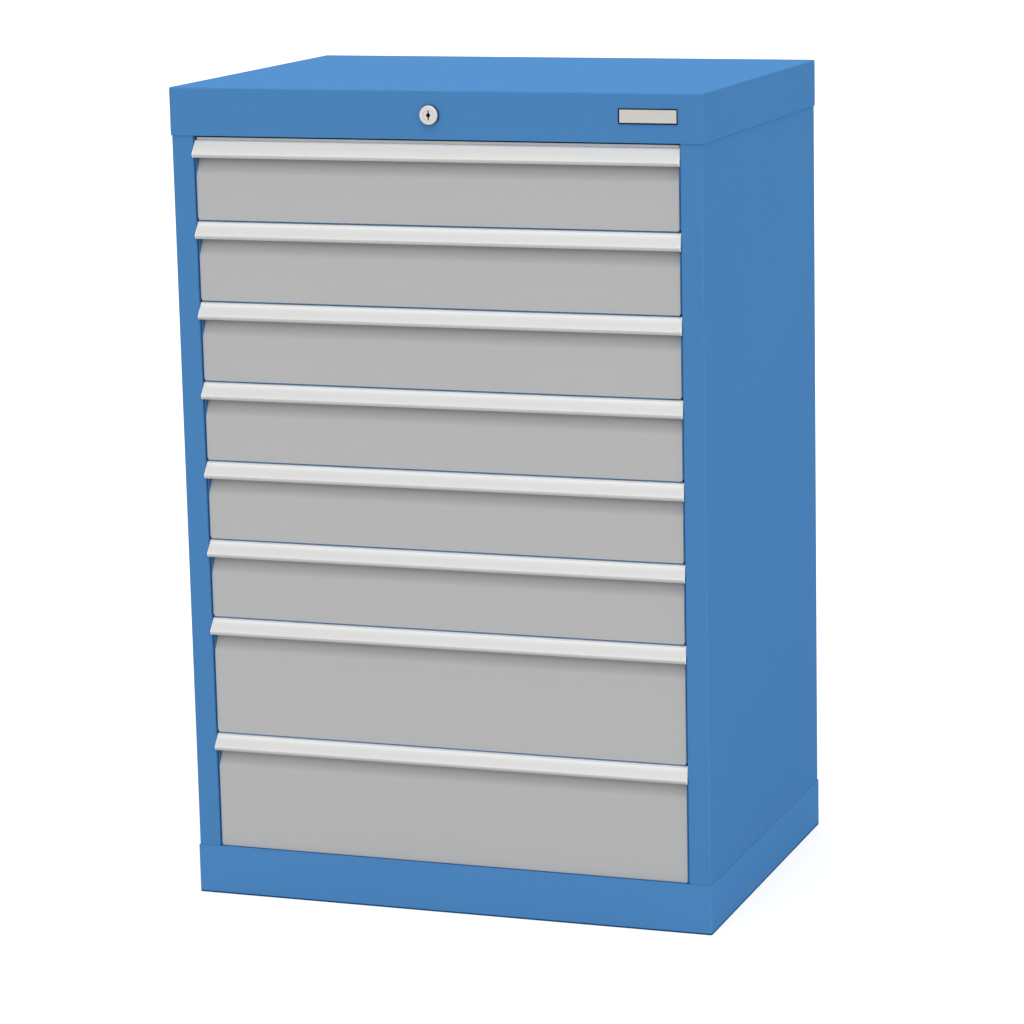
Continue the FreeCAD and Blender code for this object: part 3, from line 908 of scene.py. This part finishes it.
@dataclass
class NamePlate:
    """The bare plate on the header with a low raised rim, painted near-black as the shadow line
    round it.
    """

    rim: float = 1.8 * MM
    rise: float = 0.3 * MM
    slope: float = 0.15 * MM
    corner: float = 1.5 * MM
    least_corner: float = 0.2 * MM
    corner_steps: int = 4

    def ring(self, inset: float) -> list[tuple[float, float]]:
        """Points of a rounded outline inside the plate's edge.

        Args:
            inset: How far inside.

        Returns:
            The points in X and Z, anticlockwise seen from the front.
        """
        low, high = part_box("name_plate")
        radius = max(self.corner - inset, self.least_corner)
        points: list[tuple[float, float]] = []
        for turn, x, z in ((0, high.x, high.z), (1, low.x, high.z), (2, low.x, low.z),
                           (3, high.x, low.z)):
            cx = x - inset - radius if x == high.x else x + inset + radius
            cz = z - inset - radius if z == high.z else z + inset + radius
            for step in range(self.corner_steps + 1):
                angle = math.pi / 2 * (turn + step / self.corner_steps)
                points.append((cx + radius * math.cos(angle), cz + radius * math.sin(angle)))
        return points

    def dress(self, paints: Paintbox) -> None:
        """Coat the plate and lay the rim round it.

        Args:
            paints: The mixed finishes.
        """
        paints.coat(["name_plate"], Finish.PLATE)
        self.lay_rim(paints)

    def lay_rim(self, paints: Paintbox) -> None:
        """Lay the raised rim round the plate's face.

        Args:
            paints: The mixed finishes.
        """
        face_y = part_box("name_plate")[0].y
        rings = [[(x, y, z) for x, z in self.ring(inset)]
                 for inset, y in ((0.0, face_y), (self.slope, face_y - self.rise),
                                  (self.rim - self.slope, face_y - self.rise),
                                  (self.rim, face_y))]
        count = len(rings[0])
        faces = []
        for row in range(len(rings)):
            after = (row + 1) % len(rings)
            for a in range(count):
                b = (a + 1) % count
                faces.append((row * count + a, row * count + b, after * count + b,
                              after * count + a))
        mesh = bpy.data.meshes.new("name_plate_rim")
        mesh.from_pydata([point for ring in rings for point in ring], [], faces)
        form = bmesh.new()
        form.from_mesh(mesh)
        bmesh.ops.recalc_face_normals(form, faces=list(form.faces))
        form.to_mesh(mesh)
        form.free()
        mesh.materials.append(paints.get(Finish.RIM))
        piece = bpy.data.objects.new("name_plate_rim", mesh)
        bpy.context.scene.collection.objects.link(piece)
        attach(piece, "cabinet")
        LOG.info("name_plate_rim rides on cabinet")


@dataclass
class DrawerStack:
    """Eight drawers on telescopic slides."""

    count: int = 8
    box_sheet: float = 1.0 * MM
    rail_sheet: float = 1.2 * MM
    rivet: FastenerKind = field(default_factory=lambda: FastenerKind(
        Head.RIVET, radius=3.2 * MM, height=1.1 * MM, finish=Finish.SCREW))
    screw: FastenerKind = field(default_factory=lambda: FastenerKind(
        Head.SOCKET_SCREW, radius=2.9 * MM, height=1.7 * MM, finish=Finish.SCREW))
    rivets_a_side: int = 4
    screws_a_row: int = 4
    rivet_margin: float = 45.0 * MM
    screw_margin: float = 40.0 * MM
    screw_rise: float = 10.0 * MM
    screw_drop: float = 5.0 * MM
    grip_leg: float = 7.0 * MM
    grip_colour: Colour = swatch(203, 203, 202)
    # The sills and beads are blue bars of painted gap shade.
    sill_drop: float = 2.2 * MM
    last_sill_drop: float = 0.6 * MM
    edging_setback: float = 0.5 * MM
    edging_depth: float = 12.0 * MM
    edging_soft_edge: float = 0.15 * MM
    bead_width: float = 1.3 * MM
    bead_start: float = 0.6 * MM
    hem_rise: float = 1.8 * MM
    hem_drop: float = 1.2 * MM
    hem_proud: float = 0.05 * MM
    hem_inset: float = 0.8 * MM
    dust_lip_rise: float = 3.1 * MM
    dust_lip_setback: float = 1.5 * MM
    dust_lip_sheet: float = 1.2 * MM
    dust_lip_soft_edge: float = 0.2 * MM

    def dress(self, paints: Paintbox) -> None:
        """Coat every drawer and its slides, and set their fittings.

        Args:
            paints: The mixed finishes.
        """
        low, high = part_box("drawer_1_handle")
        fold_y = high.y - self.grip_leg
        grip = MattAluminium("grip_aluminium", self.grip_colour, fold_y=fold_y, nose_y=low.y,
                             end_x=high.x)
        paints.coat(["cabinet_rails"], Finish.SLIDE)
        for number in range(1, self.count + 1):
            name = "drawer_%d" % number
            paints.coat([name + "_front"], Finish.FRONT)
            paints.coat([name + "_handle"], grip)
            paints.coat([name + "_box"], Finish.BOX)
            paints.coat([name + "_rails", name + "_carriages"], Finish.SLIDE)
            self.fasten(name, paints)
            if number < self.count:
                self.edge(name, paints, self.hem_drop, self.sill_drop)
            else:
                self.edge(name, paints, 0.0, self.last_sill_drop)
        self.dust_lip("drawer_1", fold_y, paints.get(grip))

    def fasten(self, name: str, paints: Paintbox) -> None:
        """Rivet a drawer to its slides and screw its front on.

        Args:
            name: The drawer.
            paints: The mixed finishes.
        """
        low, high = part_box(name + "_box")
        rail_low, rail_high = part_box(name + "_carriages")
        rail_z = (rail_low.z + rail_high.z) / 2
        row = spread(low.y + self.rivet_margin, high.y - self.rivet_margin, self.rivets_a_side)
        heads: list[tuple[Place, Place]] = []
        for side in (-1.0, 1.0):
            for y in row:
                heads.append(((side * (high.x + self.rail_sheet), y, rail_z), (side, 0.0, 0.0)))
                heads.append(((side * (high.x - self.box_sheet), y, rail_z), (-side, 0.0, 0.0)))
        self.rivet.row(name + "_rail_rivets", paints, name, heads)
        across = spread(low.x + self.screw_margin, high.x - self.screw_margin, self.screws_a_row)
        levels = (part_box(name + "_front")[0].z + self.screw_rise, high.z - self.screw_drop)
        wall_y = low.y + self.box_sheet
        screws = [((x, wall_y, z), (0.0, 1.0, 0.0)) for z in levels for x in across]
        self.screw.row(name + "_front_screws", paints, name, screws)

    def edge(self, name: str, paints: Paintbox, hem_drop: float, sill_drop: float) -> None:
        """Edge a front with blue beads at its ends, a hem and a blue sill under it; the beads and
        sill are painted shade that fills the gaps round the front.

        Args:
            name: The drawer.
            paints: The mixed finishes.
            hem_drop: How far the hem reaches below the front.
            sill_drop: How far the sill reaches below the front.
        """
        low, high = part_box(name + "_front")
        strip_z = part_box(name + "_handle")[0].z
        y0, y1 = low.y + self.edging_setback, low.y + self.edging_depth
        bars: list[tuple[Place, Place]] = [
            ((low.x - self.bead_width, y0, low.z + self.bead_start), (low.x, y1, strip_z)),
            ((high.x, y0, low.z + self.bead_start), (high.x + self.bead_width, y1, strip_z)),
            ((low.x + self.edging_setback, y0, low.z - sill_drop),
             (high.x - self.edging_setback, y1, low.z))]
        hem = ((low.x + self.hem_inset, low.y - self.hem_proud, low.z - hem_drop),
               (high.x - self.hem_inset, y1, low.z + self.hem_rise))
        bar_piece(name + "_hem", [hem], self.edging_soft_edge, paints.get(Finish.FRONT), name)
        # Painted shade: the blue beads and sill fill the gaps round the front with the blue of the
        # shaded gap lines.
        bar_piece(name + "_gap_shade_bars", bars, self.edging_soft_edge, paints.get(Finish.BOX), name)

    def dust_lip(self, name: str, fold_y: float, material: bpy.types.Material) -> None:
        """Stand the dust lip on the top drawer's strip.

        Args:
            name: The drawer.
            fold_y: Where the strip folds to its flange.
            material: The strip's material.
        """
        front_low, front_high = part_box(name + "_front")
        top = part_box(name + "_handle")[1].z
        y0 = fold_y + self.dust_lip_setback
        lip = ((front_low.x, y0, top),
               (front_high.x, y0 + self.dust_lip_sheet, top + self.dust_lip_rise))
        bar_piece(name + "_dust_lip", [lip], self.dust_lip_soft_edge, material, name)


# Camera and studio

@dataclass(frozen=True)
class Lamp:
    """One very large soft lamp far away; degrees is how wide it looks."""

    name: str
    shines_from: Place
    strength: float
    degrees: float

    def hang(self) -> None:
        """Hang the lamp."""
        data = bpy.data.lights.new(self.name, "SUN")
        data.energy = self.strength
        data.angle = math.radians(self.degrees)
        lamp = bpy.data.objects.new(self.name, data)
        bpy.context.scene.collection.objects.link(lamp)
        lamp.rotation_euler = Vector(self.shines_from).to_track_quat("Z", "Y").to_euler()


@dataclass
class Studio:
    """Camera at the photograph's place, a pale floor and plain soft light.

    Angles are in degrees and the sensor's width is in millimetres.
    """

    azimuth: float = 18.487
    elevation: float = 11.496
    roll: float = -0.955
    distance: float = 4.3971
    focal_pixels: float = 3659.0
    image_pixels: float = 1024.0
    axis_offset: float = 100.0
    aim_x: float = 0.22153
    aim_y: float = -0.2475
    aim_z: float = 0.52158
    sensor: float = 36.0
    sight: float = 100.0
    floor_half: float = 30.0
    world_level: float = 0.5
    backdrop_level: float = 1.0
    white: tuple[float, ...] = (1.0, 1.0, 1.0, 1.0)
    floor_tone: float = 0.6
    floor_lift: float = 0.5
    lamps: tuple[Lamp, ...] = (
        Lamp("top", shines_from=(-0.05, -0.15, 0.985), strength=1.65, degrees=60.0),
        Lamp("front", shines_from=(0.05, -0.93, 0.36), strength=0.76, degrees=50.0),
        Lamp("right", shines_from=(0.9, -0.1, 0.4), strength=0.95, degrees=60.0),
        Lamp("rear", shines_from=(-0.6, 0.75, 0.3), strength=0.8, degrees=60.0))

    def camera(self) -> bpy.types.Object:
        """Set the camera.

        Returns:
            The camera.
        """
        azimuth, elevation, roll = (math.radians(a) for a in
                                    (self.azimuth, self.elevation, self.roll))
        back = Vector((math.sin(azimuth) * math.cos(elevation),
                       -math.cos(azimuth) * math.cos(elevation), math.sin(elevation)))
        right = (-back).cross(Vector((0, 0, 1))).normalized()
        up = right.cross(-back)
        turned_right = right * math.cos(roll) + up * math.sin(roll)
        turned_up = up * math.cos(roll) - right * math.sin(roll)
        data = bpy.data.cameras.new("camera")
        data.sensor_width = self.sensor
        data.lens = self.focal_pixels / self.image_pixels * self.sensor
        data.shift_x = -self.axis_offset / self.image_pixels
        data.clip_end = self.sight
        camera = bpy.data.objects.new("camera", data)
        bpy.context.scene.collection.objects.link(camera)
        place = Vector((self.aim_x, self.aim_y, self.aim_z)) + back * self.distance
        turn = Matrix((turned_right, turned_up, back)).transposed().to_4x4()
        camera.matrix_world = Matrix.Translation(place) @ turn
        bpy.context.scene.camera = camera
        return camera

    def world(self) -> None:
        """Light the scene evenly and show white behind it."""
        world = bpy.data.worlds.new("studio_world")
        bpy.context.scene.world = world
        sheet = ShaderSheet(world)
        rays = sheet.node("ShaderNodeLightPath", {}, {}).outputs
        seen, mirrored, through = (Signal(sheet, rays[label]) for label in (
            "Is Camera Ray", "Is Glossy Ray", "Is Transmission Ray"))
        soft, pale = (sheet.node("ShaderNodeBackground", {},
                                 {"Color": self.white, "Strength": level}).outputs[0]
                      for level in (self.world_level, self.backdrop_level))
        mix = sheet.node("ShaderNodeMixShader", {},
                         {0: seen.most(mirrored).most(through), 1: soft, 2: pale})
        sheet.node("ShaderNodeOutputWorld", {}, {"Surface": mix.outputs[0]})

    def floor(self) -> None:
        """Lay the floor, which keeps the cabinet's soft shadow."""
        half = self.floor_half
        mesh = bpy.data.meshes.new("floor")
        mesh.from_pydata([(-half, -half, 0), (half, -half, 0), (half, half, 0), (-half, half, 0)],
                         [], [(0, 1, 2, 3)])
        sheet = ShaderSheet(bpy.data.materials.new("studio_floor"))
        paths = sheet.node("ShaderNodeLightPath", {}, {})
        seen = Signal(sheet, paths.outputs["Is Camera Ray"])
        lift = sheet.node("ShaderNodeEmission", {},
                          {"Color": self.white, "Strength": seen * self.floor_lift})
        paper = sheet.node("ShaderNodeBsdfDiffuse", {}, {"Color": (*(self.floor_tone,) * 3, 1.0)})
        both = sheet.node("ShaderNodeAddShader", {}, {0: paper.outputs[0], 1: lift.outputs[0]})
        sheet.node("ShaderNodeOutputMaterial", {}, {"Surface": both.outputs[0]})
        mesh.materials.append(sheet.owner)
        floor = bpy.data.objects.new("floor", mesh)
        bpy.context.scene.collection.objects.link(floor)

    def build(self) -> None:
        """Set up the whole studio."""
        bpy.context.scene.view_settings.view_transform = "Standard"
        self.camera()
        self.world()
        self.floor()
        for lamp in self.lamps:
            lamp.hang()


def main() -> None:
    """Dress the cabinet from the housing to the drawers."""
    logging.basicConfig(level=logging.INFO, format="%(message)s")
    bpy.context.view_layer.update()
    Studio().build()
    paints = Paintbox()
    steps: Sequence[tuple[str, Callable[[Paintbox], None]]] = (
        ("housing", Housing().dress),
        ("lock", CentralLock().dress),
        ("name plate", NamePlate().dress),
        ("drawers", DrawerStack().dress))
    for label, step in steps:
        step(paints)
        LOG.info("%s done", label)


if __name__ == "__main__":
    main()
